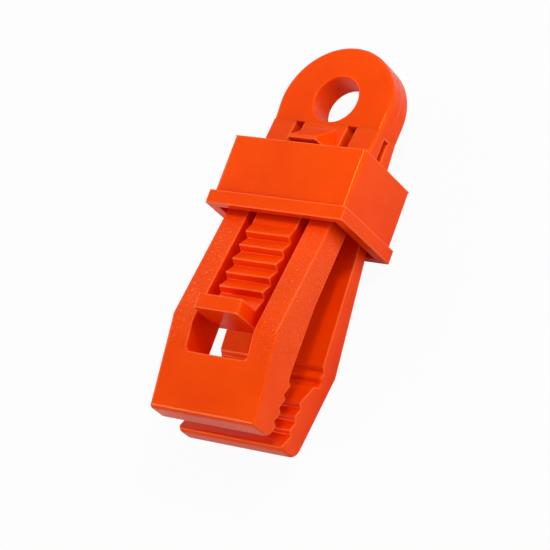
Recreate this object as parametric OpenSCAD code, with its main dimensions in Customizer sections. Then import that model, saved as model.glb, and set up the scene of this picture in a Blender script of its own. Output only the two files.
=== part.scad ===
// Tarp clip: a moulded body with an eye, two toothed arms that flex and a ratchet tongue,
// closed by a collar that slides from the neck toward the jaws.
// +Y points to the eye, +Z out of the front face, and the eye's centre is the origin.
// A value named ..._at is a distance from the eye's centre down toward the jaws.

/* [Eye plate] */
// Diameter of the eye
eye_d = 9.6; // [7:0.1:10.2]
// How far the round head stands out past the arms at each side
head_bulge = 0.65; // [0.5:0.05:1.5]
// Distance from the eye's centre down to the centre of the head's arc
head_drop = 1.3; // [0:0.1:2]
// Thickness of the head
plate_t = 6.4; // [5.4:0.1:8]
// Radius that rounds the head's rim
rim_round = 0.9; // [0.3:0.1:1.5]
// Place where the faces bend outward
bend_at = 5.4; // [5.3:0.1:6.5]
// Place where the flanks have closed in to the arms' width
neck_at = 12.4; // [11:0.1:15]

/* [Arms] */
// Width of the arms
body_w = 24.1; // [22:0.1:25]
// Distance from the bend down to the arms' flexing roots
root_drop = 1.3; // [1.2:0.1:2]
// Gap between the arms at their roots
slit = 1.5; // [1:0.1:2]
// Place of the knee, where the arms' faces turn inward again
knee_at = 51.3; // [49:0.1:54]
// Depth of the clip over both knees
knee_depth = 22.8; // [20:0.1:25]
// Width of the window around the tongue
window_w = 14; // [12.5:0.1:16]
// Radius of the window's lower corners
window_round = 1; // [0.4:0.1:1.5]

/* [Jaws] */
// Length of the front pad from the knee to its end
pad_len = 16.9; // [15:0.1:19]
// Depth of the clip over both pads' ends
end_depth = 16.4; // [14:0.1:19]
// How far the rear pad reaches past the front one
end_step = 0.4; // [0:0.1:1]
// Distance from the rails' end down to the first tooth's tip
jaw_web = 2.6; // [2:0.1:3.2]
// Distance between teeth
tooth_pitch = 2.65; // [2.2:0.05:3]
// Height of a tooth
tooth_h = 1; // [0.6:0.1:1.2]
// Number of teeth on the front pad
front_teeth = 4; // [3:1:5]
// Number of teeth on the rear pad
rear_teeth = 3; // [2:1:3]
// Distance from the mid-plane to the front teeth's tips
front_tip_z = 1.6; // [1.2:0.1:2]
// Distance from the mid-plane to the rear teeth's tips
rear_tip_z = 3; // [2.6:0.1:3.4]
// How far the rear teeth stand below the front ones, so that they interlock
mesh_shift = 1.4; // [1:0.1:1.8]
// Thickness of the toothed strips under their valleys
strip_t = 0.8; // [0.5:0.1:1.2]
// Length of the rounded lead-in below the last front tooth
lead_len = 2.65; // [2.3:0.05:3]
// Distance from the mid-plane to the lip at the rear pad's end
lip_z = 2.4; // [2:0.1:2.8]
// Length of the lip's bevel at the rear pad's end
lip_bevel = 0.7; // [0.4:0.1:1]
// Length of the wavy groove above the rear pad
groove_len = 4.3; // [3.5:0.1:5]
// Depth of the wavy groove
groove_depth = 1.3; // [0.8:0.1:1.6]
// Radius along the pads' long edges
pad_round = 1.2; // [0.4:0.1:1.6]
// Radius of the rear pad's end edge
rear_end_round = 1.6; // [0.8:0.1:2]

/* [Tongue] */
// Width of the tongue
tongue_w = 10.06; // [9:0.1:11.5]
// Distance from the mid-plane to the tongue's back at its end
tongue_back_z = 5.7; // [5:0.1:6.4]
// Distance from the collar's rim at rest to the first ridge's tip
ridge_gap = 4.25; // [3.5:0.05:5]
// Number of ridges
ridge_count = 5; // [4:1:6]
// Distance between ridges
ridge_pitch = 3.03; // [2.7:0.01:3.3]
// Height of a ridge over the valley below it
ridge_h = 1.48; // [1:0.01:1.7]
// How far the first ridge's tip stands out of the arms' faces
first_ridge_rise = 0.88; // [0.4:0.01:1.2]
// How far the last ridge's tip stands out of the arms' faces
last_ridge_rise = 0.35; // [0:0.01:0.8]
// Thickness of the ridge strip under its valleys
ridge_strip_t = 0.6; // [0.4:0.05:1]
// Length of the heel between the last valley and the tab
heel_len = 2.8; // [2:0.1:3.5]
// How far the tab's foot lies under the arms' faces
tab_sink = 0.27; // [0.1:0.01:0.6]
// Thickness of the tab
tab_t = 3; // [2.4:0.1:3.6]
// Height of the tab above the arms' faces
tab_rise = 4.7; // [3.5:0.1:6]
// Radius of the tab's upper corners
tab_round = 0.7; // [0.3:0.1:1.2]

/* [Stop wedge] */
// Width of the wedge at its foot
wedge_foot_w = 6.1; // [5:0.1:7]
// Width of the wedge's crest
wedge_crest_w = 6; // [5:0.1:7]
// Width of the stop face where it meets the tongue
wedge_base_w = 8.8; // [7.2:0.1:8.9]
// Length of the ramp from the foot to the crest
wedge_len = 4.4; // [3.8:0.1:5]
// Length of the flat crest
crest_len = 0.6; // [0.4:0.1:1]
// How far the stop face leans out from the crest to its base
stop_lean = 0.5; // [0.2:0.1:0.8]
// How far the crest stands out past the collar's relief
stop_bite = 0.6; // [0.4:0.1:0.9]

/* [Collar] */
// Length of the sleeve
sleeve_len = 11.95; // [10:0.05:14]
// Length of the flange
flange_len = 2.8; // [2:0.1:4]
// Wall of the sleeve across its front and rear
sleeve_face_wall = 1.2; // [1:0.1:2]
// Wall of the sleeve at its sides
sleeve_side_wall = 1.75; // [1:0.05:2.5]
// How far the flange stands out of the sleeve
flange_lip = 0.56; // [0.3:0.01:1]
// Radius of the sleeve's outer corners
sleeve_round = 1.1; // [0.4:0.1:1.6]
// Radius of the flange's outer corners
flange_round = 0.4; // [0.2:0.1:1]
// Radius of the opening's corners
opening_round = 0.6; // [0.2:0.1:1]
// Depth of the relief that clears the ridges inside the sleeve
relief_depth = 0.5; // [0.3:0.05:0.6]

/* [Fits] */
// Gap between the plate and each flexing root
hinge_gap = 0.05; // [0.03:0.01:0.1]
// Gap between the wedge's base and the collar at rest
stop_gap = 0.4; // [0.3:0.05:0.8]
// Gap between the arms and the collar at each side
collar_side_gap = 1.35; // [0.5:0.05:2]
// Gap between the arms' faces and the collar's rim at rest
collar_face_gap = 0.915; // [0.8:0.005:1.2]
// Gap between the tongue and the relief's sides
relief_side_gap = 0.57; // [0.3:0.01:1]

/* [Hidden] */
$fn = 96;
plastic = "#F04A0A";

// One overrun serves every cut
overrun = plate_t;
// How far a flat stands proud of the round it runs into
step = 0.02;

// Faces of the arms
plate_z = plate_t / 2;
knee_z = knee_depth / 2;
end_z = end_depth / 2;
arm_slope = (knee_z - plate_z) / (knee_at - bend_at);
arm_tilt = atan(arm_slope);
pad_slope = (knee_z - end_z) / pad_len;
pad_tilt = atan(pad_slope);
function arm_face_z(at) = plate_z + arm_slope * (at - bend_at);
function pad_face_z(at) = knee_z - pad_slope * (at - knee_at);

// Flexing roots: a round root that touches the arm's face and the slit
root_at = bend_at + root_drop;
root_z = (slit / 2 + arm_face_z(root_at) * cos(arm_tilt)) / (1 + cos(arm_tilt));
root_r = root_z - slit / 2;
root_centre = [root_at, root_z];
root_face_at = root_at - root_r * sin(arm_tilt);
root_face = [root_face_at, arm_face_z(root_face_at)];
root_slit = [root_at, slit / 2];

// Flanks, tangent to the head's arc
head_r = body_w / 2 + head_bulge;
flank_drop = neck_at - head_drop;
flank_tilt = asin(head_r / norm([body_w / 2, flank_drop])) - atan2(body_w / 2, flank_drop);
function half_w(at) = body_w / 2 + max(neck_at - at, 0) * tan(flank_tilt);
flank_top = [head_r * cos(flank_tilt), -head_drop - head_r * sin(flank_tilt)];

// Places along the jaws
front_end_at = knee_at + pad_len;
rear_end_at = front_end_at + end_step;
front_tip_at = front_end_at - lead_len - (front_teeth - 1) * tooth_pitch;
rear_tip_at = front_tip_at + mesh_shift;
jaw_at = front_tip_at - jaw_web;
front_valley_share = 0.755;
rear_valley_share = 0.32;
front_strip_at = front_tip_at - (1 - front_valley_share) * tooth_pitch;
groove_end_share = 0.85;
groove_end_at = jaw_at - (1 - groove_end_share) * jaw_web;
groove_at = groove_end_at - groove_len;
front_valley_z = front_tip_z + tooth_h;
rear_valley_z = rear_tip_z + tooth_h;
front_base_z = front_valley_z + strip_t;
rear_base_z = rear_valley_z + strip_t;

// Inner faces, as shares of the run from the roots and of the knee's height
rail_inner_shares = [[0.358, 0.105], [0.731, 0.259], [1, 0.25]];
rear_inner_shares = [[0.087, 0.075], [0.495, 0.355], [1, 0.539]];
groove_shares = [[0.23, 0.81], [0.49, 0.46], [0.72, 1], [0.9, 0.77], [1, -0.42]];
function inner_face(shares, end_at) = [
    for (s = shares) [root_at + s[0] * (end_at - root_at), s[1] * knee_z]
];
rail_inner = inner_face(rail_inner_shares, jaw_at);
rear_inner = inner_face(rear_inner_shares, groove_at);
groove_z = rear_inner[len(rear_inner) - 1][1];
groove = [
    for (s = groove_shares) [groove_at + s[0] * groove_len, groove_z + s[1] * groove_depth]
];
groove_end = groove[len(groove) - 1];
function ramp_z(at) =
    groove_end[1] + (rear_tip_z - groove_end[1]) * (at - groove_end_at) / (rear_tip_at - groove_end_at);
rear_strip_z = rear_valley_z + strip_t / 2;
rear_strip_at = groove_end_at
    + (rear_tip_at - groove_end_at) * (groove_end[1] - rear_strip_z) / (groove_end[1] - rear_tip_z);

// Collar at rest
wedge_at = root_face_at;
crest_at = wedge_at + wedge_len;
crest_end_at = crest_at + crest_len;
stop_at = crest_end_at + stop_lean;
collar_at = stop_at + stop_gap;
flange_at = collar_at + sleeve_len;
collar_end_at = flange_at + flange_len;
opening_x = body_w / 2 + collar_side_gap;
opening_z = arm_face_z(collar_end_at) + collar_face_gap;
sleeve_x = opening_x + sleeve_side_wall;
sleeve_z = opening_z + sleeve_face_wall;
crest_z = opening_z + relief_depth + stop_bite;

// Ridges and tab
ridge_at = collar_end_at + ridge_gap;
ridge_valley_share = 0.29;
ridge_run = (ridge_count - 1) * ridge_pitch;
ridge_strip_at = ridge_at - (1 - ridge_valley_share) * ridge_pitch;
last_valley_at = ridge_at + ridge_run + ridge_valley_share * ridge_pitch;
function ridge_tip_z(at) =
    arm_face_z(at) + first_ridge_rise + (last_ridge_rise - first_ridge_rise) * (at - ridge_at) / ridge_run;
function ridge_valley_z(at) = ridge_tip_z(at) - ridge_h;
tab_at = last_valley_at + heel_len;
tab_foot_z = arm_face_z(tab_at) - tab_sink;
tab_top_z = arm_face_z(tab_at) + tab_rise;
tongue_end_at = tab_at + tab_t;

// Solid between two places across the clip, drawn as [place along, height]
module slab(from_x, to_x) {
    translate([from_x, 0, 0])
        rotate([90, 0, 90])
            mirror([1, 0, 0])
                linear_extrude(height = to_x - from_x)
                    children();
}

// Solid between two places along the clip, drawn as [across, height]
module run(from_at, to_at) {
    translate([0, -from_at, 0])
        rotate([90, 0, 0])
            linear_extrude(height = to_at - from_at)
                children();
}

// The body's width seen from the front, closing in along the flanks
module plan_prism(from_at) {
    linear_extrude(height = 2 * knee_depth, center = true)
        polygon([
            [half_w(from_at), -from_at],
            [body_w / 2, -neck_at],
            [body_w / 2, -rear_end_at - overrun],
            [-body_w / 2, -rear_end_at - overrun],
            [-body_w / 2, -neck_at],
            [-half_w(from_at), -from_at]
        ]);
}

// Rectangle about the middle with rounded corners
module rounded_rect(half_x, half_y, r) {
    square([2 * (half_x - r), 2 * half_y], center = true);
    square([2 * half_x, 2 * (half_y - r)], center = true);
    for (x = [-1, 1])
        for (y = [-1, 1])
            translate([x * (half_x - r), y * (half_y - r)])
                circle(r = r);
}

// What an arc of radius r takes off the corner p between the points a and b
module corner_cut(a, p, b, r) {
    u = (a - p) / norm(a - p);
    v = (b - p) / norm(b - p);
    half = acos(u * v) / 2;
    centre = p + (u + v) / norm(u + v) * r / sin(half);
    touch_a = p + u * r / tan(half);
    touch_b = p + v * r / tan(half);
    difference() {
        polygon([
            centre,
            centre + (touch_a - centre) * 2,
            centre + (p - centre) * 2,
            centre + (touch_b - centre) * 2
        ]);
        translate(centre)
            circle(r = r);
    }
}

// What an arc of radius r takes off a square corner at the origin
module square_corner_cut(r) {
    translate([-r, -r])
        difference() {
            square(r + overrun);
            circle(r = r);
        }
}

// What rounds the pads' long edges: it follows the pad's face and runs out above the knee
module pad_edge_cuts() {
    run_out = pad_round / tan(arm_tilt + pad_tilt) + overrun;
    for (side = [0, 1])
        mirror([side, 0, 0])
            translate([body_w / 2, -knee_at, knee_z])
                rotate([pad_tilt, 0, 0])
                    run(-run_out, pad_len + overrun)
                        square_corner_cut(pad_round);
}

// Side outline of a piece that turns on its round root, given from the outer face to the inner one
module rooted(outline) {
    start_at = root_at - 2 * root_r;
    difference() {
        polygon(concat(
            [[start_at, slit / 2], [start_at, arm_face_z(start_at)]],
            outline,
            [root_slit]
        ));
        difference() {
            polygon([
                root_centre,
                root_centre + 2 * (root_face - root_centre),
                root_centre + 3 * [-root_r, root_r],
                root_centre - 3 * [root_r, root_r],
                root_centre + 2 * (root_slit - root_centre)
            ]);
            translate(root_centre)
                circle(r = root_r - step);
        }
    }
}

// Half section through the head's rim
module rim_section(r) {
    translate([0, -plate_z])
        square([r - rim_round, plate_t]);
    translate([0, rim_round - plate_z])
        square([r, plate_t - 2 * rim_round]);
    for (z = [-1, 1])
        translate([r - rim_round, z * (plate_z - rim_round)])
            circle(r = rim_round);
}

// Round head with its two flanks, down to the bend
module head() {
    difference() {
        translate([0, -head_drop, 0])
            rotate_extrude()
                rim_section(head_r - step);
        translate([-head_r, -bend_at - 2 * head_r, -plate_t])
            cube([2 * head_r, 2 * head_r, 2 * plate_t]);
    }
    difference() {
        linear_extrude(height = plate_t, center = true)
            polygon([
                [0, -head_drop],
                flank_top,
                [half_w(bend_at), -bend_at],
                [-half_w(bend_at), -bend_at],
                [-flank_top[0], flank_top[1]]
            ]);
        for (side = [0, 1])
            for (face = [0, 1])
                mirror([side, 0, 0])
                    mirror([0, 0, face])
                        translate([flank_top[0], flank_top[1], plate_z])
                            rotate([0, 0, -flank_tilt])
                                run(-rim_round, bend_at + overrun)
                                    square_corner_cut(rim_round);
    }
}

// Short neck between the bend and the roots
module neck() {
    neck_end_at = root_at - hinge_gap;
    intersection() {
        slab(-2 * head_r, 2 * head_r)
            polygon([
                [bend_at, plate_z],
                [neck_end_at, arm_face_z(neck_end_at)],
                [neck_end_at, -arm_face_z(neck_end_at)],
                [bend_at, -plate_z]
            ]);
        plan_prism(bend_at);
    }
}

module eye_plate() {
    color(plastic)
        difference() {
            union() {
                head();
                neck();
            }
            cylinder(h = 2 * plate_t, d = eye_d, center = true);
            // The seats that the arms' roots turn in
            for (z = [-root_z, root_z])
                slab(-2 * head_r, 2 * head_r)
                    translate([root_at, z])
                        circle(r = root_r + hinge_gap);
            // The slots beside the tongue begin at the bend
            for (side = [0, 1])
                mirror([side, 0, 0])
                    translate([tongue_w / 2, -bend_at - overrun, slit / 2])
                        cube([(window_w - tongue_w) / 2, overrun, 2 * plate_t]);
        }
}

// Side outline of an arm from its round root to the rails' end
module arm_outline(inner) {
    rooted(concat(
        [[knee_at, knee_z], [jaw_at, pad_face_z(jaw_at)]],
        [for (i = [len(inner) - 1:-1:0]) inner[i]]
    ));
}

module front_rail(side) {
    color(plastic)
        mirror([side, 0, 0])
            difference() {
                intersection() {
                    slab(window_w / 2, 2 * head_r)
                        arm_outline(rail_inner);
                    plan_prism(bend_at);
                }
                pad_edge_cuts();
            }
}

module front_rail_left() {
    front_rail(1);
}

module front_rail_right() {
    front_rail(0);
}

// Side outline of a pad: its outer face, rounded end and inner steps
module pad_outline(end_at, end_round, inner) {
    end_face = [end_at, pad_face_z(end_at)];
    end_base = inner[0];
    difference() {
        polygon(concat([[jaw_at, pad_face_z(jaw_at)], end_face], inner));
        corner_cut([jaw_at, pad_face_z(jaw_at)], end_face, end_base, end_round);
    }
}

module front_jaw() {
    rail_end = rail_inner[len(rail_inner) - 1];
    color(plastic)
        difference() {
            slab(-body_w / 2, body_w / 2)
                pad_outline(front_end_at, pad_round, [
                    [front_end_at, front_base_z],
                    [front_strip_at, front_base_z],
                    [front_strip_at, front_valley_z],
                    rail_end
                ]);
            pad_edge_cuts();
            // Lower end of the window
            translate([0, window_w / 2 - front_strip_at, 0])
                linear_extrude(height = 2 * knee_depth, center = true)
                    rounded_rect(window_w / 2, window_w / 2, window_round);
        }
}

// The row of teeth: each has a short flank above its tip and a long one below
module front_jaw_teeth() {
    last_tip_at = front_tip_at + (front_teeth - 1) * tooth_pitch;
    lead_rise = front_base_z - front_tip_z;
    lead_r = (lead_len * lead_len + lead_rise * lead_rise) / (2 * lead_rise);
    color(plastic)
        slab(-body_w / 2, body_w / 2) {
            polygon(concat(
                [[last_tip_at, front_base_z], [front_strip_at, front_base_z], [front_strip_at, front_valley_z]],
                [
                    for (i = [0:front_teeth - 1])
                        for (p = [[0, front_tip_z], [front_valley_share, front_valley_z]])
                            if (i < front_teeth - 1 || p[0] == 0)
                                [front_tip_at + (i + p[0]) * tooth_pitch, p[1]]
                ]
            ));
            intersection() {
                translate([last_tip_at, front_tip_z + lead_r])
                    circle(r = lead_r);
                translate([last_tip_at, front_tip_z])
                    square([lead_len, lead_rise]);
            }
        }
}

module rear_arm() {
    color(plastic)
        mirror([0, 0, 1])
            difference() {
                intersection() {
                    slab(-2 * head_r, 2 * head_r)
                        arm_outline(concat(rear_inner, groove, [[jaw_at, ramp_z(jaw_at)]]));
                    plan_prism(bend_at);
                }
                pad_edge_cuts();
            }
}

module rear_jaw() {
    color(plastic)
        mirror([0, 0, 1])
            difference() {
                slab(-body_w / 2, body_w / 2)
                    pad_outline(rear_end_at, rear_end_round, [
                        [rear_end_at, rear_base_z],
                        [rear_strip_at, rear_base_z],
                        [rear_strip_at, rear_strip_z],
                        [jaw_at, ramp_z(jaw_at)]
                    ]);
                pad_edge_cuts();
            }
}

// The row of teeth on the ramp, closed by a lip at the pad's end
module rear_jaw_teeth() {
    color(plastic)
        mirror([0, 0, 1])
            slab(-body_w / 2, body_w / 2)
                polygon(concat(
                    [[rear_end_at, rear_base_z], [rear_strip_at, rear_base_z]],
                    [[rear_strip_at, rear_strip_z]],
                    [
                        for (i = [0:rear_teeth - 1])
                            for (p = [[0, rear_tip_z], [rear_valley_share, rear_valley_z]])
                                [rear_tip_at + (i + p[0]) * tooth_pitch, p[1]]
                    ],
                    [[rear_end_at - lip_bevel, lip_z], [rear_end_at, lip_z + lip_bevel]]
                ));
}

module ratchet_tongue() {
    color(plastic)
        slab(-tongue_w / 2, tongue_w / 2)
            rooted([
                [ridge_strip_at, arm_face_z(ridge_strip_at)],
                [ridge_strip_at, ridge_valley_z(ridge_strip_at) - ridge_strip_t],
                [last_valley_at, ridge_valley_z(last_valley_at) - ridge_strip_t],
                [last_valley_at, ridge_valley_z(last_valley_at)],
                [tab_at, tab_foot_z],
                [tongue_end_at, tab_foot_z],
                [tongue_end_at, tongue_back_z]
            ]);
}

// Ridges with a long ramp toward the eye and a steep flank toward the jaws
module ratchet_teeth() {
    color(plastic)
        slab(-tongue_w / 2, tongue_w / 2)
            polygon(concat(
                [[last_valley_at, ridge_valley_z(last_valley_at) - ridge_strip_t]],
                [[ridge_strip_at, ridge_valley_z(ridge_strip_at) - ridge_strip_t]],
                [[ridge_strip_at, arm_face_z(ridge_strip_at)]],
                [
                    for (i = [0:ridge_count - 1])
                        for (share = [0, ridge_valley_share])
                            let (at = ridge_at + (i + share) * ridge_pitch)
                                [at, share == 0 ? ridge_tip_z(at) : ridge_valley_z(at)]
                ]
            ));
}

// Thumb tab that stands on the tongue's end
module release_tab() {
    color(plastic)
        intersection() {
            slab(-tongue_w / 2, tongue_w / 2)
                polygon([
                    [tab_at, tab_foot_z],
                    [tab_at, tab_top_z],
                    [tongue_end_at, tab_top_z],
                    [tongue_end_at, tab_foot_z]
                ]);
            run(tab_at, tongue_end_at)
                translate([0, tab_top_z - tab_rise])
                    rounded_rect(tongue_w / 2, tab_rise, tab_round);
        }
}

// Half-space on the low side of a plane through p with the normal [1, slope_y, slope_z]
module plane_cut(p, slope_y, slope_z) {
    size = 4 * knee_depth;
    translate(p)
        rotate([0, -atan2(slope_z, norm([1, slope_y])), atan2(slope_y, 1)])
            translate([0, -size / 2, -size / 2])
                cube(size);
}

// Wedge that keeps the collar from coming off over the eye, with leaning sides
module stop_wedge() {
    foot_z = arm_face_z(wedge_at);
    base_z = arm_face_z(stop_at);
    crest_step = (wedge_crest_w - wedge_foot_w) / 2;
    base_step = (wedge_base_w - wedge_foot_w) / 2;
    base_len = stop_at - wedge_at;
    lean = (base_step - crest_step * (base_z - foot_z) / (crest_z - foot_z))
        / (base_len - wedge_len * (base_z - foot_z) / (crest_z - foot_z));
    draft = (lean * wedge_len - crest_step) / (crest_z - foot_z);
    color(plastic)
        difference() {
            slab(-tongue_w / 2, tongue_w / 2)
                polygon([
                    [wedge_at, foot_z],
                    [crest_at, crest_z],
                    [crest_end_at, crest_z],
                    [stop_at, base_z]
                ]);
            for (side = [0, 1])
                mirror([side, 0, 0])
                    plane_cut([wedge_foot_w / 2, -wedge_at, foot_z], lean, draft);
        }
}

// Sleeve with a relief down its front that lets the ridges spring out behind the rim
module collar_sleeve() {
    relief_x = tongue_w / 2 + relief_side_gap;
    color(plastic)
        run(collar_at, flange_at)
            difference() {
                rounded_rect(sleeve_x, sleeve_z, sleeve_round);
                rounded_rect(opening_x, opening_z, opening_round);
                translate([-relief_x, 0])
                    square([2 * relief_x, opening_z + relief_depth]);
            }
}

// Flange whose rim catches on the ridges
module collar_flange() {
    color(plastic)
        run(flange_at, collar_end_at)
            difference() {
                rounded_rect(sleeve_x + flange_lip, sleeve_z + flange_lip, flange_round);
                rounded_rect(opening_x, opening_z, opening_round);
            }
}

eye_plate();
front_rail_left();
front_rail_right();
front_jaw();
front_jaw_teeth();
rear_arm();
rear_jaw();
rear_jaw_teeth();
ratchet_tongue();
ratchet_teeth();
release_tab();
stop_wedge();
collar_sleeve();
collar_flange();
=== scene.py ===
"""Looks of the tarp clip: one moulded body with an eye, two toothed arms and a ratchet tongue,
and the collar that slides over it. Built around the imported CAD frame.

Lengths are in millimetres until a piece becomes a mesh. A point is written as across (x), along
(the distance from the eye's centre toward the jaws) and up (z, out of the front face).
"""

import math

import bmesh
import bpy
from mathutils import Matrix, Quaternion, Vector


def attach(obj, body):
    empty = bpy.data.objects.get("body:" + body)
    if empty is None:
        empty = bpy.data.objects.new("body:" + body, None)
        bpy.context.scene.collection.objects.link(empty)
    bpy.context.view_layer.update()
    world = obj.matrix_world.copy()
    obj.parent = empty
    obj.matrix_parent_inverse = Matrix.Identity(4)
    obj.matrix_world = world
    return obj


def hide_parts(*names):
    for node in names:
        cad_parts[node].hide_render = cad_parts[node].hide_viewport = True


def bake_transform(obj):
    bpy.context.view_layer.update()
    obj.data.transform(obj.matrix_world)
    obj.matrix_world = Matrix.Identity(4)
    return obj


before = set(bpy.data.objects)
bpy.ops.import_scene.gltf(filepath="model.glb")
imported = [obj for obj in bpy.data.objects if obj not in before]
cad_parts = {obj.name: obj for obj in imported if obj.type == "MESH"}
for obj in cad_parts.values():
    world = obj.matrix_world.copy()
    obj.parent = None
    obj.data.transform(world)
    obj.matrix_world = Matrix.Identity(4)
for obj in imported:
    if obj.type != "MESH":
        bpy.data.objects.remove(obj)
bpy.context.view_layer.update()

MM = 0.001

# Two places nearer than this, in mm, are the same place
TOUCH = 0.01
# Vertices nearer than this, in metres, are joined
MERGE = 1e-7
# Radius of an edge that has none of its own
PLAIN_R = 0.15
# An edge whose faces turn by less than this isn't rounded
CREASE_DEGREES = 4
# Faces that turn by less than this shade as one
SMOOTH_DEGREES = 28
# Faces that turn by less than this are one flat face
FLAT_DEGREES = 0.05

# Eye plate
EYE_R = 4.8
EYE_STEPS = 40
HEAD_R = 12.64
HEAD_DROP = 1.3
HEAD_STEPS = 48
PLATE_Z = 3.2
BODY_X = 12.05
BEND_AT = 5.4
NECK_AT = 12.4
FLANK_TILT = (math.asin(HEAD_R / math.hypot(BODY_X, NECK_AT - HEAD_DROP))
              - math.atan2(BODY_X, NECK_AT - HEAD_DROP))
BEND_X = BODY_X + (NECK_AT - BEND_AT) * math.tan(FLANK_TILT)
WEB_END_AT = 6.4
FLASH_W = 0.14
FLASH_H = 0.03
HEAD_FRONT_R = 0.9
HEAD_REAR_R = 0.35
EYE_RIM_R = 0.45

# Arms
SLIT_Z = 0.75
ROOT_AT = 6.7
SHOULDER_AT = 20
KNEE_AT = 51.3
KNEE_Z = 11.4
WINDOW_X = 7.0
WINDOW_END_AT = 56.95
# How far a side wall leans in for each mm of height
DRAFT = 0.008
# What stands farther out than this belongs to a side wall of an arm
SIDE_FROM_X = 10
FRONT_INNER = ((55, 2.85), (42, 2.95), (24, 1.2))
REAR_INNER = ((28.29, 4.05), (10.49, 0.855))
NECK_R = 0.5
SHOULDER_R = 0.35
RAIL_R = 0.2
WINDOW_RIM_R = 0.2
WINDOW_END_R = 0.25
WINDOW_CORNER_R = 1.0
KNEE_R = 0.6

# Pads, each with its end and its teeth. Heights of the rear arm are measured down from the middle
PAD_SLOPE = 3.2 / 16.9
TOOTH_PITCH = 2.65
TOOTH_COUNT = 3
FRONT_END_AT = 68.2
FRONT_TOOTH_AT = 57.6
FRONT_TIP_Z = 1.6
FRONT_VALLEY_Z = 2.6
FRONT_VALLEY_BACK = 0.65
LEAD_IN_AT = FRONT_TOOTH_AT + TOOTH_COUNT * TOOTH_PITCH
LEAD_IN_R = 2.85
LEAD_IN_TURN = math.asin((FRONT_END_AT - LEAD_IN_AT) / LEAD_IN_R)
LEAD_IN_STEPS = 6
REAR_END_AT = 68.6
REAR_END_R = 2.8
REAR_END_TURN = math.atan(1 / PAD_SLOPE)
REAR_END_STEPS = 8
REAR_TIP_AT = 59.0
REAR_TIP_Z = 3.0
REAR_VALLEY_AT = 59.848
REAR_VALLEY_Z = 4.0
REAR_TEETH_END_AT = REAR_VALLEY_AT + (TOOTH_COUNT - 1) * TOOTH_PITCH
REAR_LIP_Z = 3.1
REAR_LIP_FOOT_AT = 67.9
REAR_LIP_FOOT_Z = 2.4
REAR_GROOVE = ((54.61, 5.6), (54.18, 7.15), (53.41, 7.45), (52.42, 6.74), (51.3, 7.2), (50.31, 6.14))
GROOVE_AT = REAR_GROOVE[-1][0]
GROOVE_SLOPE_Z = 6.5
GROOVE_BOTTOM_Z = 7.0
PAD_RIM_R = 0.7
PAD_END_R = 1.0
LEAD_IN_RIM_R = 0.35
FRONT_TOOTH_R = 0.12
REAR_TOOTH_R = 0.35
REAR_RIM_R = 0.6
REAR_LIP_R = 0.4

# Tongue
TONGUE_X = 5.03
FLAT_END_AT = 29.21
RIDGE_AT = 31.366
RIDGE_PITCH = 3.03
RIDGE_COUNT = 5
RIDGE_H = 1.48
RIDGE_PROUD = 0.88
RIDGE_SINK = 0.53
RIDGE_VALLEY_SHARE = 0.29
TAB_AT = 47.16
TAB_T = 3.0
TAB_TOP_Z = 15.36
TAB_FOOT_Z = 10.39
TONGUE_BACK_Z = 5.7
WEDGE_AT = 6.466
WEDGE_CREST_AT = 10.866
WEDGE_CREST_END_AT = 11.466
WEDGE_STOP_AT = 11.966
WEDGE_Z = 9.094
WEDGE_FOOT_X = 3.05
WEDGE_BASE_X = 4.4
WEDGE_CREST_X = 3.0
WEDGE_CREST_END_X = 3.17
TONGUE_R = 0.12
RIDGE_R = 0.25
WEDGE_R = 0.2
TAB_SIDE_R = 0.7
TAB_R = 0.2

# Collar
COLLAR_AT = 12.366
FLANGE_AT = 24.316
COLLAR_END_AT = 27.116
SLEEVE_X = 15.15
SLEEVE_Z = 9.194
FLANGE_LIP = 0.56
OPENING_X = 13.4
OPENING_Z = 7.994
RELIEF_X = 5.6
RELIEF_DEPTH = 0.5
FLANGE_R = 0.12
SLEEVE_CORNER_R = 1.1
FLANGE_CORNER_R = 0.45
INNER_CORNER_R = 0.6


# Places


def arm_face(along):
    """Height of the arms' outer faces between the bend and the knee."""
    return PLATE_Z + (KNEE_Z - PLATE_Z) * (along - BEND_AT) / (KNEE_AT - BEND_AT)


def pad_face(along):
    """Height of the pads' outer faces between the knee and the end."""
    return KNEE_Z - PAD_SLOPE * (along - KNEE_AT)


def place(x, along, z):
    """A point of the clip in the frame's metres."""
    return Vector((x, -along, z)) * MM


def spot(co):
    """The clip's own numbers for a point of the frame: across, along, up."""
    return Vector((co.x, -co.y, co.z)) / MM


def at(p, along):
    """Whether a spot lies at a distance along the clip."""
    return abs(p.y - along) < TOUCH


def on_outer_face(p):
    """Whether a spot lies on the outer face of an arm or a pad, in front or behind."""
    return abs(p.z) > min(arm_face(p.y), pad_face(p.y)) - TOUCH


def on_outer_side(p):
    """Whether a spot lies on one of the body's side walls."""
    return abs(p.x) > SIDE_FROM_X


# Modelling


def with_edges(faces):
    """Faces with their edges and vertices, in a fixed order."""
    return list(dict.fromkeys(part for face in faces for part in (face, *face.edges, *face.verts)))


def centre_of(face):
    """The middle of a face, in the clip's own numbers."""
    return spot(face.calc_center_median())


def side_face(bm, outline, x):
    """A flat face across the clip from a side outline of (along, up) points."""
    return bm.faces.new([bm.verts.new(place(x, along, z)) for along, z in outline])


def extrude(bm, faces, shift):
    """Extrudes faces by a shift in millimetres and returns the moved faces."""
    out = bmesh.ops.extrude_face_region(bm, geom=with_edges(faces))["geom"]
    verts = [part for part in out if isinstance(part, bmesh.types.BMVert)]
    bmesh.ops.translate(bm, verts=verts, vec=Vector(shift) * MM)
    return [part for part in out if isinstance(part, bmesh.types.BMFace)]


def cut(bm, through, normal, test):
    """Cuts the faces whose centre passes a test with a plane."""
    faces = [face for face in bm.faces if test(centre_of(face))]
    bmesh.ops.bisect_plane(bm, geom=with_edges(faces), dist=MERGE, plane_co=through, plane_no=normal)


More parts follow.
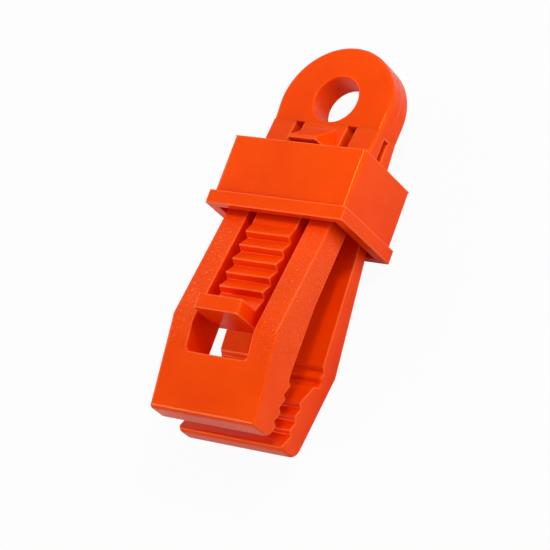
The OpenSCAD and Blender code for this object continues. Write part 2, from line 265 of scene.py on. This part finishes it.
def mirror(bm, axis):
    """Adds the other half of a mesh that is open at the middle."""
    bmesh.ops.mirror(bm, geom=bm.verts[:] + bm.edges[:] + bm.faces[:], matrix=Matrix.Identity(4),
                     merge_dist=MERGE, axis=axis)
    join_verts(bm)


def join_verts(bm):
    """Makes one vertex of those that share a place."""
    bmesh.ops.remove_doubles(bm, verts=bm.verts[:], dist=MERGE)


def drop_faces(bm, test):
    """Deletes the faces whose centre passes a test."""
    faces = [face for face in bm.faces if test(centre_of(face))]
    bmesh.ops.delete(bm, geom=faces, context="FACES")


def join_flats(bm):
    """Takes out the edges between faces that lie in one plane."""
    flat = [edge for edge in bm.edges if edge.calc_face_angle(1) < math.radians(FLAT_DEGREES)]
    bmesh.ops.dissolve_edges(bm, edges=flat, use_verts=False, use_face_split=False)


def draft_sides(bm, from_x):
    """Leans the body's side walls in, away from the parting plane, as a mould needs."""
    for vert in bm.verts:
        if abs(vert.co.x) > from_x * MM:
            vert.co.x -= math.copysign(DRAFT * abs(vert.co.z), vert.co.x)


def widen_at_bend(bm):
    """Brings the side walls out to the head's flanks, where an arm meets the head."""
    for vert in bm.verts:
        if spot(vert.co).y < BEND_AT + TOUCH and on_outer_side(spot(vert.co)):
            vert.co.x = math.copysign(BEND_X * MM, vert.co.x)


def across(run):
    """Whether an edge runs across the clip."""
    return run.x > 0.9


def lengthwise(run):
    """Whether an edge runs along the clip."""
    return run.y > 0.9


def in_side(run):
    """Whether an edge lies in a side wall."""
    return run.x < 0.5


def round_edges(bm, rules):
    """Writes each sharp edge's radius as a bevel weight and returns the widest radius, in mm.
    A rule is a radius and a test of the edge's middle and of the way it runs. Later rules win."""
    bmesh.ops.recalc_face_normals(bm, faces=bm.faces[:])
    bm.normal_update()
    layer = bm.edges.layers.float.new("bevel_weight_edge")
    widest = max(radius for radius, test in rules)
    for edge in bm.edges:
        if edge.calc_face_angle(0) < math.radians(CREASE_DEGREES):
            continue
        a = spot(edge.verts[0].co)
        b = spot(edge.verts[1].co)
        run = (b - a).normalized()
        for radius, test in rules:
            if test((a + b) / 2, Vector((abs(run.x), abs(run.y), abs(run.z)))):
                edge[layer] = radius / widest
    return widest


def applied(piece):
    """Replaces a piece's mesh with what its modifiers make of it."""
    bpy.context.view_layer.update()
    mesh = bpy.data.meshes.new_from_object(piece.evaluated_get(bpy.context.evaluated_depsgraph_get()))
    piece.modifiers.clear()
    piece.data = mesh
    mesh.name = piece.name
    return mesh


def finish_piece(name, bm, widest, material):
    """Turns a bmesh into an object with rounded edges and flat faces that stay flat."""
    mesh = bpy.data.meshes.new(name)
    bm.to_mesh(mesh)
    bm.free()
    for polygon in mesh.polygons:
        polygon.use_smooth = True
    piece = bpy.data.objects.new(name, mesh)
    bpy.context.scene.collection.objects.link(piece)
    bevel = piece.modifiers.new("rounding", "BEVEL")
    bevel.limit_method = "WEIGHT"
    bevel.width = widest * MM
    bevel.segments = 5
    bevel.profile = 0.5
    bevel.material = -1
    bevel.use_clamp_overlap = False
    bevel.face_strength_mode = "FSTR_ALL"
    applied(piece).set_sharp_from_angle(angle=math.radians(SMOOTH_DEGREES))
    shading = piece.modifiers.new("flat faces", "WEIGHTED_NORMAL")
    shading.keep_sharp = True
    shading.use_face_influence = True
    mesh = applied(piece)
    mesh.materials.clear()
    mesh.materials.append(material)
    return piece


def make_head(material):
    """The round plate with its eye, down to the bend, and the web that carries the arms."""
    # A quarter of the plate is drawn flat, raised level by level, and mirrored twice
    bm = bmesh.new()
    top = bm.verts.new(place(0, HEAD_DROP - HEAD_R, 0))
    bmesh.ops.spin(bm, geom=[top], cent=place(0, HEAD_DROP, 0), axis=(0, 0, -1),
                   angle=math.pi / 2 + FLANK_TILT, steps=HEAD_STEPS)
    flank = max(bm.verts, key=lambda v: -v.co.y)
    eye_low = bm.verts.new(place(0, EYE_R, 0))
    arc = set(bm.verts)
    bmesh.ops.spin(bm, geom=[eye_low], cent=(0, 0, 0), axis=(0, 0, 1), angle=math.pi, steps=EYE_STEPS)
    eye_high = max((v for v in bm.verts if v not in arc), key=lambda v: v.co.y)
    bend_out = bm.verts.new(place(BEND_X, BEND_AT, 0))
    bend_in = bm.verts.new(place(0, BEND_AT, 0))
    for pair in ((flank, bend_out), (bend_out, bend_in), (bend_in, eye_low), (eye_high, top)):
        bm.edges.new(pair)
    bmesh.ops.edgeloop_fill(bm, edges=bm.edges[:])
    levels = (0, FLASH_W / 2, SLIT_Z, PLATE_Z)
    faces = bm.faces[:]
    for low, high in zip(levels, levels[1:]):
        faces = extrude(bm, faces, (0, 0, high - low))
    drop_faces(bm, lambda p: p.z < TOUCH or abs(p.x) < TOUCH)
    mirror(bm, "X")
    mirror(bm, "Z")
    bm.normal_update()

    # The mould's halves leave a thin flash round the rim
    for vert in bm.verts:
        on_rim = vert.co.xy.length > (EYE_R + 1) * MM and spot(vert.co).y < BEND_AT - 0.1
        if on_rim and abs(vert.co.z) < MERGE:
            vert.co += vert.normal * FLASH_H * MM

    web = [face for face in bm.faces if at(centre_of(face), BEND_AT) and abs(centre_of(face).z) < SLIT_Z]
    extrude(bm, web, (0, BEND_AT - WEB_END_AT, 0))
    draft_sides(bm, EYE_R + 1)

    def on_plate(p):
        return abs(p.z) > PLATE_Z - TOUCH and p.y < BEND_AT - TOUCH

    widest = round_edges(bm, [
        # Rim of the head in front and behind, then both rims of the eye
        (HEAD_FRONT_R, lambda p, run: on_plate(p) and p.z > 0),
        (HEAD_REAR_R, lambda p, run: on_plate(p) and p.z < 0),
        (EYE_RIM_R, lambda p, run: on_plate(p) and p.xy.length < EYE_R + 0.1),
    ])
    return finish_piece("eye_plate_moulding", bm, widest, material)


def front_pad_outline():
    """The front pad from the side: outer face, lead-in arc, then the teeth back to the window."""
    outline = [(WINDOW_END_AT, pad_face(WINDOW_END_AT)), (FRONT_END_AT, pad_face(FRONT_END_AT))]
    for i in range(LEAD_IN_STEPS + 1):
        turn = LEAD_IN_TURN * (1 - i / LEAD_IN_STEPS)
        z = FRONT_TIP_Z + LEAD_IN_R * (1 - math.cos(turn))
        outline.append((LEAD_IN_AT + LEAD_IN_R * math.sin(turn), z))
    for i in range(TOOTH_COUNT, 0, -1):
        tip_at = FRONT_TOOTH_AT + i * TOOTH_PITCH
        if i < TOOTH_COUNT:
            outline.append((tip_at, FRONT_TIP_Z))
        outline.append((tip_at - FRONT_VALLEY_BACK, FRONT_VALLEY_Z))
    outline += [(FRONT_TOOTH_AT, FRONT_TIP_Z), (WINDOW_END_AT, FRONT_VALLEY_Z)]
    return outline


def make_front_arm(material):
    """Two rails beside the window, and the toothed pad that joins them."""
    rail = [(BEND_AT, PLATE_Z), (NECK_AT, arm_face(NECK_AT)), (SHOULDER_AT, arm_face(SHOULDER_AT)),
            (KNEE_AT, KNEE_Z), (WINDOW_END_AT, pad_face(WINDOW_END_AT)), (WINDOW_END_AT, FRONT_VALLEY_Z),
            *FRONT_INNER, (ROOT_AT, SLIT_Z), (BEND_AT, SLIT_Z)]
    bm = bmesh.new()
    side_face(bm, rail, BODY_X)
    side_face(bm, front_pad_outline(), BODY_X)
    join_verts(bm)
    moved = extrude(bm, bm.faces[:], (WINDOW_X - BODY_X, 0, 0))
    extrude(bm, [face for face in moved if centre_of(face).y > WINDOW_END_AT], (-WINDOW_X, 0, 0))
    drop_faces(bm, lambda p: abs(p.x) < TOUCH)
    mirror(bm, "X")
    join_flats(bm)
    widen_at_bend(bm)
    draft_sides(bm, SIDE_FROM_X)

    def outer_edge(p, run):
        return on_outer_side(p) and in_side(run) and on_outer_face(p)

    widest = round_edges(bm, [
        (PLAIN_R, lambda p, run: p.y > BEND_AT + TOUCH),
        # Tips and valleys of the teeth
        (FRONT_TOOTH_R, lambda p, run: across(run) and p.y > WINDOW_END_AT
         and p.z < FRONT_VALLEY_Z + TOUCH),
        # Rim of the window, in front
        (WINDOW_RIM_R, lambda p, run: abs(abs(p.x) - WINDOW_X) < TOUCH and on_outer_face(p)),
        # The rails' long outer edges, finer toward the knee, and the pad's
        (NECK_R, lambda p, run: outer_edge(p, run) and p.y < NECK_AT),
        (SHOULDER_R, lambda p, run: outer_edge(p, run) and NECK_AT < p.y < SHOULDER_AT),
        (RAIL_R, lambda p, run: outer_edge(p, run) and SHOULDER_AT < p.y < KNEE_AT),
        (PAD_RIM_R, lambda p, run: outer_edge(p, run) and lengthwise(run) and p.y > KNEE_AT),
        # The pad's end, the steps of the lead-in arc, which stay as they are, and its side rims
        (PAD_END_R, lambda p, run: across(run) and at(p, FRONT_END_AT) and on_outer_face(p)),
        (0.0, lambda p, run: across(run) and LEAD_IN_AT + TOUCH < p.y < FRONT_END_AT - TOUCH
         and not on_outer_face(p)),
        (LEAD_IN_RIM_R, lambda p, run: in_side(run) and p.y > LEAD_IN_AT and not on_outer_face(p)),
        # The window's end and its corners, and the knee
        (WINDOW_END_R, lambda p, run: across(run) and at(p, WINDOW_END_AT) and on_outer_face(p)),
        (WINDOW_CORNER_R, lambda p, run: run.z > 0.9 and at(p, WINDOW_END_AT) and not on_outer_side(p)),
        (KNEE_R, lambda p, run: across(run) and at(p, KNEE_AT) and on_outer_face(p)),
    ])
    return finish_piece("front_arm_moulding", bm, widest, material)


def rear_outline():
    """The rear arm from the side: outer face, round end, lip, teeth, groove and inner face."""
    outline = [(BEND_AT, PLATE_Z), (NECK_AT, arm_face(NECK_AT)), (SHOULDER_AT, arm_face(SHOULDER_AT)),
               (KNEE_AT, KNEE_Z)]
    centre_z = pad_face(REAR_END_AT) - REAR_END_R * math.tan(REAR_END_TURN / 2)
    for i in range(REAR_END_STEPS + 1):
        turn = REAR_END_TURN * (1 - i / REAR_END_STEPS)
        along = REAR_END_AT - REAR_END_R * (1 - math.cos(turn))
        outline.append((along, centre_z + REAR_END_R * math.sin(turn)))
    outline += [(REAR_END_AT, REAR_LIP_Z), (REAR_LIP_FOOT_AT, REAR_LIP_FOOT_Z)]
    for i in range(TOOTH_COUNT - 1, -1, -1):
        outline.append((REAR_VALLEY_AT + i * TOOTH_PITCH, REAR_VALLEY_Z))
        outline.append((REAR_TIP_AT + i * TOOTH_PITCH, REAR_TIP_Z))
    outline += [*REAR_GROOVE, *REAR_INNER, (ROOT_AT, SLIT_Z), (BEND_AT, SLIT_Z)]
    return outline


def make_rear_arm(material):
    """The full-width arm with its wavy groove and toothed ramp."""
    bm = bmesh.new()
    side_face(bm, [(along, -z) for along, z in rear_outline()], -BODY_X)
    extrude(bm, bm.faces[:], (2 * BODY_X, 0, 0))
    widen_at_bend(bm)
    draft_sides(bm, SIDE_FROM_X)

    def outer_edge(p, run):
        return in_side(run) and on_outer_face(p)

    def in_round_end(p):
        return p.y > REAR_LIP_FOOT_AT - TOUCH

    widest = round_edges(bm, [
        (PLAIN_R, lambda p, run: p.y > BEND_AT + TOUCH),
        # Groove, and tips and valleys of the teeth
        (REAR_TOOTH_R, lambda p, run: across(run) and GROOVE_AT - TOUCH < p.y < REAR_TEETH_END_AT + TOUCH
         and not on_outer_face(p)),
        # The long outer edges, finer toward the knee, and the rim of the groove's first slope
        (NECK_R, lambda p, run: outer_edge(p, run) and p.y < NECK_AT),
        (SHOULDER_R, lambda p, run: outer_edge(p, run) and NECK_AT < p.y < SHOULDER_AT),
        (RAIL_R, lambda p, run: in_side(run) and SHOULDER_AT < p.y < KNEE_AT and p.z < -GROOVE_SLOPE_Z),
        # Side rims of the round end, then of the pad and of the bottom of its groove
        (REAR_RIM_R, lambda p, run: in_side(run) and in_round_end(p)),
        (REAR_RIM_R, lambda p, run: in_side(run) and p.y > KNEE_AT and p.z < -GROOVE_BOTTOM_Z),
        # The steps of the round end stay as they are
        (0.0, lambda p, run: across(run) and p.y > REAR_TEETH_END_AT + TOUCH and p.z < -REAR_VALLEY_Z),
        # The lip, and the knee
        (REAR_LIP_R, lambda p, run: across(run) and in_round_end(p) and p.z > -REAR_VALLEY_Z),
        (KNEE_R, lambda p, run: across(run) and at(p, KNEE_AT) and on_outer_face(p)),
    ])
    return finish_piece("rear_arm_moulding", bm, widest, material)


def tongue_outline():
    """The tongue from the side: its face, the ridges, the tab and the back. The ridges follow the
    slope of the arms and sink a little toward the tab."""
    last = (RIDGE_COUNT - 1) * RIDGE_PITCH
    outline = [(BEND_AT, SLIT_Z), (BEND_AT, PLATE_Z), (FLAT_END_AT, arm_face(FLAT_END_AT))]
    for i in range(RIDGE_COUNT):
        along = RIDGE_AT + i * RIDGE_PITCH
        tip = arm_face(along) + RIDGE_PROUD - RIDGE_SINK * i * RIDGE_PITCH / last
        valley_at = along + RIDGE_VALLEY_SHARE * RIDGE_PITCH
        rise = arm_face(valley_at) - arm_face(along) - RIDGE_SINK * (valley_at - along) / last
        outline += [(along, tip), (valley_at, tip + rise - RIDGE_H)]
    tab_end_at = TAB_AT + TAB_T
    outline += [(TAB_AT, TAB_FOOT_Z), (TAB_AT, TAB_TOP_Z), (tab_end_at, TAB_TOP_Z),
                (tab_end_at, TONGUE_BACK_Z), (ROOT_AT, SLIT_Z)]
    return outline


def raise_wedge(bm):
    """Grows the stop wedge out of the tongue's face, between lines cut across and along it."""
    def on_face(p):
        return p.z > arm_face(p.y) - TOUCH and p.y < FLAT_END_AT

    def on_foot(p):
        return on_face(p) and WEDGE_AT < p.y < WEDGE_STOP_AT

    for along in (WEDGE_AT, WEDGE_CREST_AT, WEDGE_STOP_AT):
        cut(bm, place(0, along, 0), (0, 1, 0), on_face)
    lean = (WEDGE_BASE_X - WEDGE_FOOT_X) / (WEDGE_STOP_AT - WEDGE_AT)
    for side in (-1, 1):
        cut(bm, place(side * WEDGE_FOOT_X, WEDGE_AT, 0), (side, lean, 0), on_foot)
    foot = [face for face in bm.faces if on_foot(centre_of(face)) and abs(centre_of(face).x) < 1]
    raised = extrude(bm, foot, (0, 0, 0))
    for vert in {vert for face in raised for vert in face.verts}:
        if spot(vert.co).y > WEDGE_CREST_AT + TOUCH:
            vert.co = place(math.copysign(WEDGE_CREST_END_X, vert.co.x), WEDGE_CREST_END_AT, WEDGE_Z)
        elif spot(vert.co).y > WEDGE_AT + TOUCH:
            vert.co = place(math.copysign(WEDGE_CREST_X, vert.co.x), WEDGE_CREST_AT, WEDGE_Z)
    join_verts(bm)
    join_flats(bm)


def make_tongue(material):
    """The sprung strip with its stop wedge, five ridges and the thumb tab."""
    bm = bmesh.new()
    side_face(bm, tongue_outline(), -TONGUE_X)
    extrude(bm, bm.faces[:], (2 * TONGUE_X, 0, 0))
    bmesh.ops.recalc_face_normals(bm, faces=bm.faces[:])
    raise_wedge(bm)

    def at_wedge(p):
        return p.y < WEDGE_STOP_AT + TOUCH

    def under_wedge(p):
        return at_wedge(p) and abs(p.x) < TONGUE_X - TOUCH and p.z < arm_face(WEDGE_STOP_AT) + TOUCH

    def on_tab_top(p):
        return p.z > TAB_TOP_Z - TOUCH

    widest = round_edges(bm, [
        (TONGUE_R, lambda p, run: p.y > BEND_AT + TOUCH),
        # Tips, valleys and side rims of the ridges
        (RIDGE_R, lambda p, run: FLAT_END_AT + TOUCH < p.y < TAB_AT - 1 and p.z > TONGUE_BACK_Z + 0.3),
        # The wedge's foot and the back of the root stay sharp, and the wedge's crest is rounded
        (0.0, lambda p, run: under_wedge(p)),
        (WEDGE_R, lambda p, run: at_wedge(p) and p.z > WEDGE_Z - TOUCH),
        # Top of the tab
        (TAB_SIDE_R, lambda p, run: lengthwise(run) and on_tab_top(p)),
        (TAB_R, lambda p, run: across(run) and on_tab_top(p)),
    ])
    return finish_piece("tongue_moulding", bm, widest, material)


def sink_relief(bm):
    """Sinks the relief into the inside of the collar's front wall, from the rim to the flange."""
    def on_inside_or_rim(p):
        return OPENING_Z - TOUCH < p.z < SLEEVE_Z - TOUCH and p.y < FLANGE_AT

    def on_rim(p):
        return p.z > OPENING_Z + TOUCH and at(p, COLLAR_AT)

    for side in (-1, 1):
        cut(bm, place(side * RELIEF_X, 0, 0), (1, 0, 0), on_inside_or_rim)
    cut(bm, place(0, 0, OPENING_Z + RELIEF_DEPTH), (0, 0, 1), on_rim)
    strip = [face for face in bm.faces
             if abs(centre_of(face).z - OPENING_Z) < TOUCH and abs(centre_of(face).x) < TOUCH
             and centre_of(face).y < FLANGE_AT]
    extrude(bm, strip, (0, 0, RELIEF_DEPTH))
    join_verts(bm)
    drop_faces(bm, lambda p: on_rim(p) and abs(p.x) < TOUCH and p.z < OPENING_Z + RELIEF_DEPTH)


def make_collar(material):
    """The sliding sleeve with its flange and the relief down the inside of its front wall."""
    bm = bmesh.new()
    corners = ((1, 1), (-1, 1), (-1, -1), (1, -1))
    verts = [bm.verts.new(place(x * SLEEVE_X, COLLAR_AT, z * SLEEVE_Z)) for x, z in corners]
    edges = [bm.edges.new((verts[i - 1], verts[i])) for i in range(len(verts))]

    # The rectangle is drawn round the wall: down outside, round the flange, and up inside
    for along, half_x, half_z in (
        (FLANGE_AT, SLEEVE_X, SLEEVE_Z),
        (FLANGE_AT, SLEEVE_X + FLANGE_LIP, SLEEVE_Z + FLANGE_LIP),
        (COLLAR_END_AT, SLEEVE_X + FLANGE_LIP, SLEEVE_Z + FLANGE_LIP),
        (COLLAR_END_AT, OPENING_X, OPENING_Z),
        (FLANGE_AT, OPENING_X, OPENING_Z),
        (COLLAR_AT, OPENING_X, OPENING_Z),
        (COLLAR_AT, SLEEVE_X, SLEEVE_Z),
    ):
        drawn = bmesh.ops.extrude_edge_only(bm, edges=edges)["geom"]
        verts = [part for part in drawn if isinstance(part, bmesh.types.BMVert)]
        edges = [part for part in drawn if isinstance(part, bmesh.types.BMEdge)
                 and all(vert in verts for vert in part.verts)]
        for vert in verts:
            vert.co = place(math.copysign(half_x, vert.co.x), along, math.copysign(half_z, vert.co.z))
    join_verts(bm)
    sink_relief(bm)

    def outside(p):
        return max(abs(p.x) - SLEEVE_X, abs(p.z) - SLEEVE_Z) > -TOUCH

    def on_relief_rim(p):
        on_front = OPENING_Z - TOUCH < p.z < SLEEVE_Z - TOUCH
        return on_front and at(p, COLLAR_AT) and abs(p.x) < RELIEF_X + TOUCH

    widest = round_edges(bm, [
        # Both ends of the collar, the step of the flange, and the relief's rim, which stays sharp
        (PLAIN_R, lambda p, run: at(p, COLLAR_AT) or at(p, COLLAR_END_AT)),
        (FLANGE_R, lambda p, run: at(p, FLANGE_AT) and outside(p)),
        (0.0, lambda p, run: on_relief_rim(p)),
        # The corners of the sleeve, of the flange and of the opening
        (SLEEVE_CORNER_R, lambda p, run: lengthwise(run) and outside(p) and p.y < FLANGE_AT),
        (FLANGE_CORNER_R, lambda p, run: lengthwise(run) and outside(p) and p.y > FLANGE_AT),
        (INNER_CORNER_R, lambda p, run: lengthwise(run) and abs(abs(p.x) - OPENING_X) < TOUCH),
    ])
    return finish_piece("collar_moulding", bm, widest, material)


# Materials


def linear(hex_colour):
    """An sRGB hex colour as linear RGBA."""
    channels = [int(hex_colour[i:i + 2], 16) / 255 for i in (1, 3, 5)]
    return [c / 12.92 if c <= 0.04045 else ((c + 0.055) / 1.055) ** 2.4 for c in channels] + [1]


def add(tree, kind, settings=None, links=None):
    """Adds a node, sets its properties and sockets, and links outputs to its sockets."""
    node = tree.nodes.new(kind)
    for name, value in (settings or {}).items():
        if isinstance(name, str) and hasattr(node, name):
            setattr(node, name, value)
        else:
            node.inputs[name].default_value = value
    for name, output in (links or {}).items():
        tree.links.new(output, node.inputs[name])
    return node


def openness(tree, along):
    """One in the open and zero far into a nook: the mask of the painted shade in the nooks. The head is
    thin and lit from all sides, so it counts as open everywhere and gets no painted shade."""
    nook = add(tree, "ShaderNodeAmbientOcclusion", {"samples": 8, "Distance": 10 * MM})
    open_air = add(tree, "ShaderNodeMapRange", {"From Min": 0.2, "From Max": 0.95},
                   {"Value": nook.outputs["AO"]})
    head_side = add(tree, "ShaderNodeMapRange", {"From Min": -27 * MM, "From Max": -20 * MM},
                    {"Value": along})
    lit = add(tree, "ShaderNodeMath", {"operation": "MAXIMUM"},
              {0: open_air.outputs[0], 1: head_side.outputs[0]})
    return lit.outputs[0]


def grained_area(tree, along, lit, grain):
    """Where the mould is spark-eroded: from below the collar to the knee, and not in the nooks."""
    below_collar = add(tree, "ShaderNodeMapRange",
                       {"From Min": -24 * MM, "From Max": -27 * MM, "To Max": grain}, {"Value": along})
    above_knee = add(tree, "ShaderNodeMapRange", {"From Min": -60 * MM, "From Max": -50 * MM},
                     {"Value": along})
    stretch = add(tree, "ShaderNodeMath", {"operation": "MULTIPLY"},
                  {0: below_collar.outputs[0], 1: above_knee.outputs[0]})
    area = add(tree, "ShaderNodeMath", {"operation": "MULTIPLY"}, {0: stretch.outputs[0], 1: lit})
    return area.outputs[0]


def edge_highlight_mask(tree, along):
    """How near a sharp edge is: the mask of the pale painted highlights along the edges. The body is one
    skin across the bend, so the place where its pieces meet doesn't count."""
    solid = add(tree, "ShaderNodeAmbientOcclusion",
                {"samples": 8, "inside": True, "only_local": True, "Distance": 0.35 * MM})
    thin = add(tree, "ShaderNodeMapRange", {"From Min": 0.92, "From Max": 0.7, "To Max": 0.5},
               {"Value": solid.outputs["AO"]})
    seam = add(tree, "ShaderNodeMath", {"operation": "COMPARE", 1: -BEND_AT * MM, 2: 0.5 * MM}, {0: along})
    edge = add(tree, "ShaderNodeMath", {"operation": "SUBTRACT", "use_clamp": True},
               {0: thin.outputs[0], 1: seam.outputs[0]})
    return edge.outputs[0]


def moulded_polypropylene(name, grain):
    """Orange polypropylene from a steel mould: bright, a little waxy, with light passing a short way under
    its skin. Painted shade turns it a darker red in the nooks, and painted highlights lay fine pale lines
    along the sharp edges. A spark-eroded part of the mould leaves a grain, as strong as told, with pale
    painted glints on single grains."""
    material = bpy.data.materials.new(name)
    material.use_nodes = True
    tree = material.node_tree
    tree.nodes.clear()
    where = add(tree, "ShaderNodeTexCoord").outputs["Object"]
    along = add(tree, "ShaderNodeSeparateXYZ", {}, {0: where}).outputs["Y"]
    lit = openness(tree, along)
    area = grained_area(tree, along, lit, grain)

    # Flow marks, about 12 mm long, shift the orange slightly
    flow = add(tree, "ShaderNodeTexNoise", {"Scale": 1 / (12 * MM), "Detail": 3.0, "Roughness": 0.5},
               {"Vector": where})
    orange = add(tree, "ShaderNodeMix", {"data_type": "RGBA", 6: linear("#E43900"), 7: linear("#FC5000")},
                 {0: flow.outputs["Fac"]})

    # Grain of about 0.1 mm in the real mould, drawn at 0.26 mm so that it shows. Where single grains would
    # catch the light, pale points are painted into the colour as glints
    fine = add(tree, "ShaderNodeTexNoise", {"Scale": 1 / (0.26 * MM), "Detail": 2.0, "Roughness": 0.6},
               {"Vector": where})
    points = add(tree, "ShaderNodeMapRange", {"From Min": 0.6, "From Max": 0.7, "To Max": 0.8},
                 {"Value": fine.outputs["Fac"]})
    painted_glints = add(tree, "ShaderNodeMath", {"operation": "MULTIPLY"}, {0: points.outputs[0], 1: area})
    skin = add(tree, "ShaderNodeMix", {"data_type": "RGBA", 7: linear("#FF9A68")},
               {0: painted_glints.outputs[0], 6: orange.outputs[2]})

    # Painted shade: in a nook the colour turns a darker red, standing in for light that has gone through
    # the plastic more than once. Painted highlight: along a sharp edge the colour turns pale orange,
    # standing in for the light that the edge catches
    painted_nook_shade = add(tree, "ShaderNodeMix", {"data_type": "RGBA", 6: linear("#E41A00")},
               {0: lit, 7: skin.outputs[2]})
    painted_edge_highlight = add(tree, "ShaderNodeMix", {"data_type": "RGBA", 7: linear("#FF9050")},
                {0: edge_highlight_mask(tree, along), 6: painted_nook_shade.outputs[2]})

    bump = add(tree, "ShaderNodeBump", {"Distance": 0.08 * MM},
               {"Strength": area, "Height": fine.outputs["Fac"]})
    # The tint keeps the reflection orange where the skin faces the eye, and white at the edges
    shader = add(tree, "ShaderNodeBsdfPrincipled",
                 {"Roughness": 0.2, "IOR": 1.49, "Specular IOR Level": 0.26,
                  "Specular Tint": (1.0, 0.45, 0.09, 1.0),
                  "Subsurface Weight": 0.35, "Subsurface Radius": (1.0, 0.15, 0.03),
                  "Subsurface Scale": 1.5 * MM},
                 {"Base Color": painted_edge_highlight.outputs[2], "Normal": bump.outputs["Normal"]})
    add(tree, "ShaderNodeOutputMaterial", {}, {"Surface": shader.outputs["BSDF"]})
    return material


# Pieces

body_plastic = moulded_polypropylene("moulded polypropylene, grained arms", 0.8)
smooth_plastic = moulded_polypropylene("moulded polypropylene, smooth", 0.1)
collar_plastic = moulded_polypropylene("moulded polypropylene, polished", 0.1)

head = make_head(body_plastic)
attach(head, "eye_plate")
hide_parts("eye_plate")

front_arm = make_front_arm(body_plastic)
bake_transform(front_arm)
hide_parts("front_rail_left", "front_rail_right", "front_jaw", "front_jaw_teeth")

rear_arm = make_rear_arm(smooth_plastic)
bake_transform(rear_arm)
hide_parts("rear_arm", "rear_jaw", "rear_jaw_teeth")

tongue = make_tongue(smooth_plastic)
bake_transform(tongue)
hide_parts("ratchet_tongue", "ratchet_teeth", "release_tab", "stop_wedge")

collar = make_collar(collar_plastic)
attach(collar, "collar")
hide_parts("collar_sleeve", "collar_flange")


# Stage

FLOOR_HALF_M = 3.0
FLOOR_GAP = 0.1
SOFT_LIGHT = 0.18
WHITE = (1, 1, 1, 1)

# Name, place and side in mm, and watts of each lamp, and the point at which they all look
LAMPS = (
    ("key", (100, 60, 218), 32, 0.3),
    ("left", (-500, 0, 250), 300, 0.7),
    ("right", (500, 150, 120), 420, 1.75),
    ("front", (370, -230, 500), 200, 0.3),
    ("low left", (-300, -380, 250), 200, 1.1),
    ("above", (0, 550, 250), 300, 0.2),
)
LAMPS_AIM_AT = 30

# The photograph's own view, solved from the eye, the head's arc and the collar's corners: where the
# camera stands and aims, in mm of the frame, how far it is rolled, in degrees, and its lens
CAMERA_STAND = (275.879, -172.114, 370.434)
CAMERA_AIM = (-2.335, -35.561, -1.327)
CAMERA_ROLL = -48.9613
CAMERA_LENS = 167.93


def seen_directly(tree, gloss):
    """One where the camera looks at the surround, a share where a gloss or a clear material looks
    at it, and zero for light."""
    rays = add(tree, "ShaderNodeLightPath")
    mirrored = add(tree, "ShaderNodeMath", {"operation": "ADD", "use_clamp": True},
                   {0: rays.outputs["Is Glossy Ray"], 1: rays.outputs["Is Transmission Ray"]})
    looks = add(tree, "ShaderNodeMath", {"operation": "MULTIPLY_ADD", "use_clamp": True, 1: gloss},
                {0: mirrored.outputs[0], 2: rays.outputs["Is Camera Ray"]})
    return looks.outputs[0]


def make_floor():
    """A pale grey floor under the clip's knees. It looks white to the camera and keeps a soft shadow."""
    bm = bmesh.new()
    bmesh.ops.create_grid(bm, x_segments=1, y_segments=1, size=FLOOR_HALF_M)
    bmesh.ops.translate(bm, verts=bm.verts[:], vec=(0, 0, -(KNEE_Z + FLOOR_GAP) * MM))
    mesh = bpy.data.meshes.new("floor")
    bm.to_mesh(mesh)
    bm.free()
    floor = bpy.data.objects.new("floor", mesh)
    bpy.context.scene.collection.objects.link(floor)
    material = bpy.data.materials.new("white studio floor")
    material.use_nodes = True
    tree = material.node_tree
    tree.nodes.clear()
    matt = add(tree, "ShaderNodeBsdfDiffuse", {"Color": linear("#D6D6D6")})
    white = add(tree, "ShaderNodeEmission", {"Color": WHITE, "Strength": 1.0})
    share = add(tree, "ShaderNodeMath", {"operation": "MULTIPLY", 1: 0.95}, {0: seen_directly(tree, 0.05)})
    mix = add(tree, "ShaderNodeMixShader", {},
              {0: share.outputs[0], 1: matt.outputs[0], 2: white.outputs[0]})
    add(tree, "ShaderNodeOutputMaterial", {}, {"Surface": mix.outputs[0]})
    mesh.materials.append(material)


def make_world():
    """A white surround for the camera, and a plain soft light for the rest."""
    world = bpy.data.worlds.new("studio")
    bpy.context.scene.world = world
    world.use_nodes = True
    tree = world.node_tree
    tree.nodes.clear()
    soft = add(tree, "ShaderNodeBackground", {"Color": WHITE, "Strength": SOFT_LIGHT})
    white = add(tree, "ShaderNodeBackground", {"Color": WHITE, "Strength": 1.0})
    seen = seen_directly(tree, 1.0)
    mix = add(tree, "ShaderNodeMixShader", {}, {0: seen, 1: soft.outputs[0], 2: white.outputs[0]})
    add(tree, "ShaderNodeOutputWorld", {}, {"Surface": mix.outputs[0]})


def make_lamp(name, spot_mm, size_mm, watts):
    """A square soft lamp that looks at the clip's middle."""
    light = bpy.data.lights.new(name, "AREA")
    light.size = size_mm * MM
    light.energy = watts
    lamp = bpy.data.objects.new(name, light)
    lamp.location = Vector(spot_mm) * MM
    aim = place(0, LAMPS_AIM_AT, 0) - lamp.location
    lamp.rotation_euler = aim.to_track_quat("-Z", "Y").to_euler()
    bpy.context.scene.collection.objects.link(lamp)


def make_camera():
    """A camera that stands and looks as the photograph's own."""
    data = bpy.data.cameras.new("camera")
    data.sensor_width = 36.0
    data.lens = CAMERA_LENS
    data.clip_start = 0.01
    camera = bpy.data.objects.new("camera", data)
    camera.location = Vector(CAMERA_STAND) * MM
    aim = Vector(CAMERA_AIM) * MM - camera.location
    roll = Quaternion((0, 0, 1), math.radians(CAMERA_ROLL))
    camera.rotation_euler = (aim.to_track_quat("-Z", "Y") @ roll).to_euler()
    bpy.context.scene.collection.objects.link(camera)
    bpy.context.scene.camera = camera


make_floor()
make_world()
for name, spot_mm, size_mm, watts in LAMPS:
    make_lamp(name, spot_mm, size_mm, watts)
make_camera()
scene = bpy.context.scene
scene.view_settings.view_transform = "Standard"
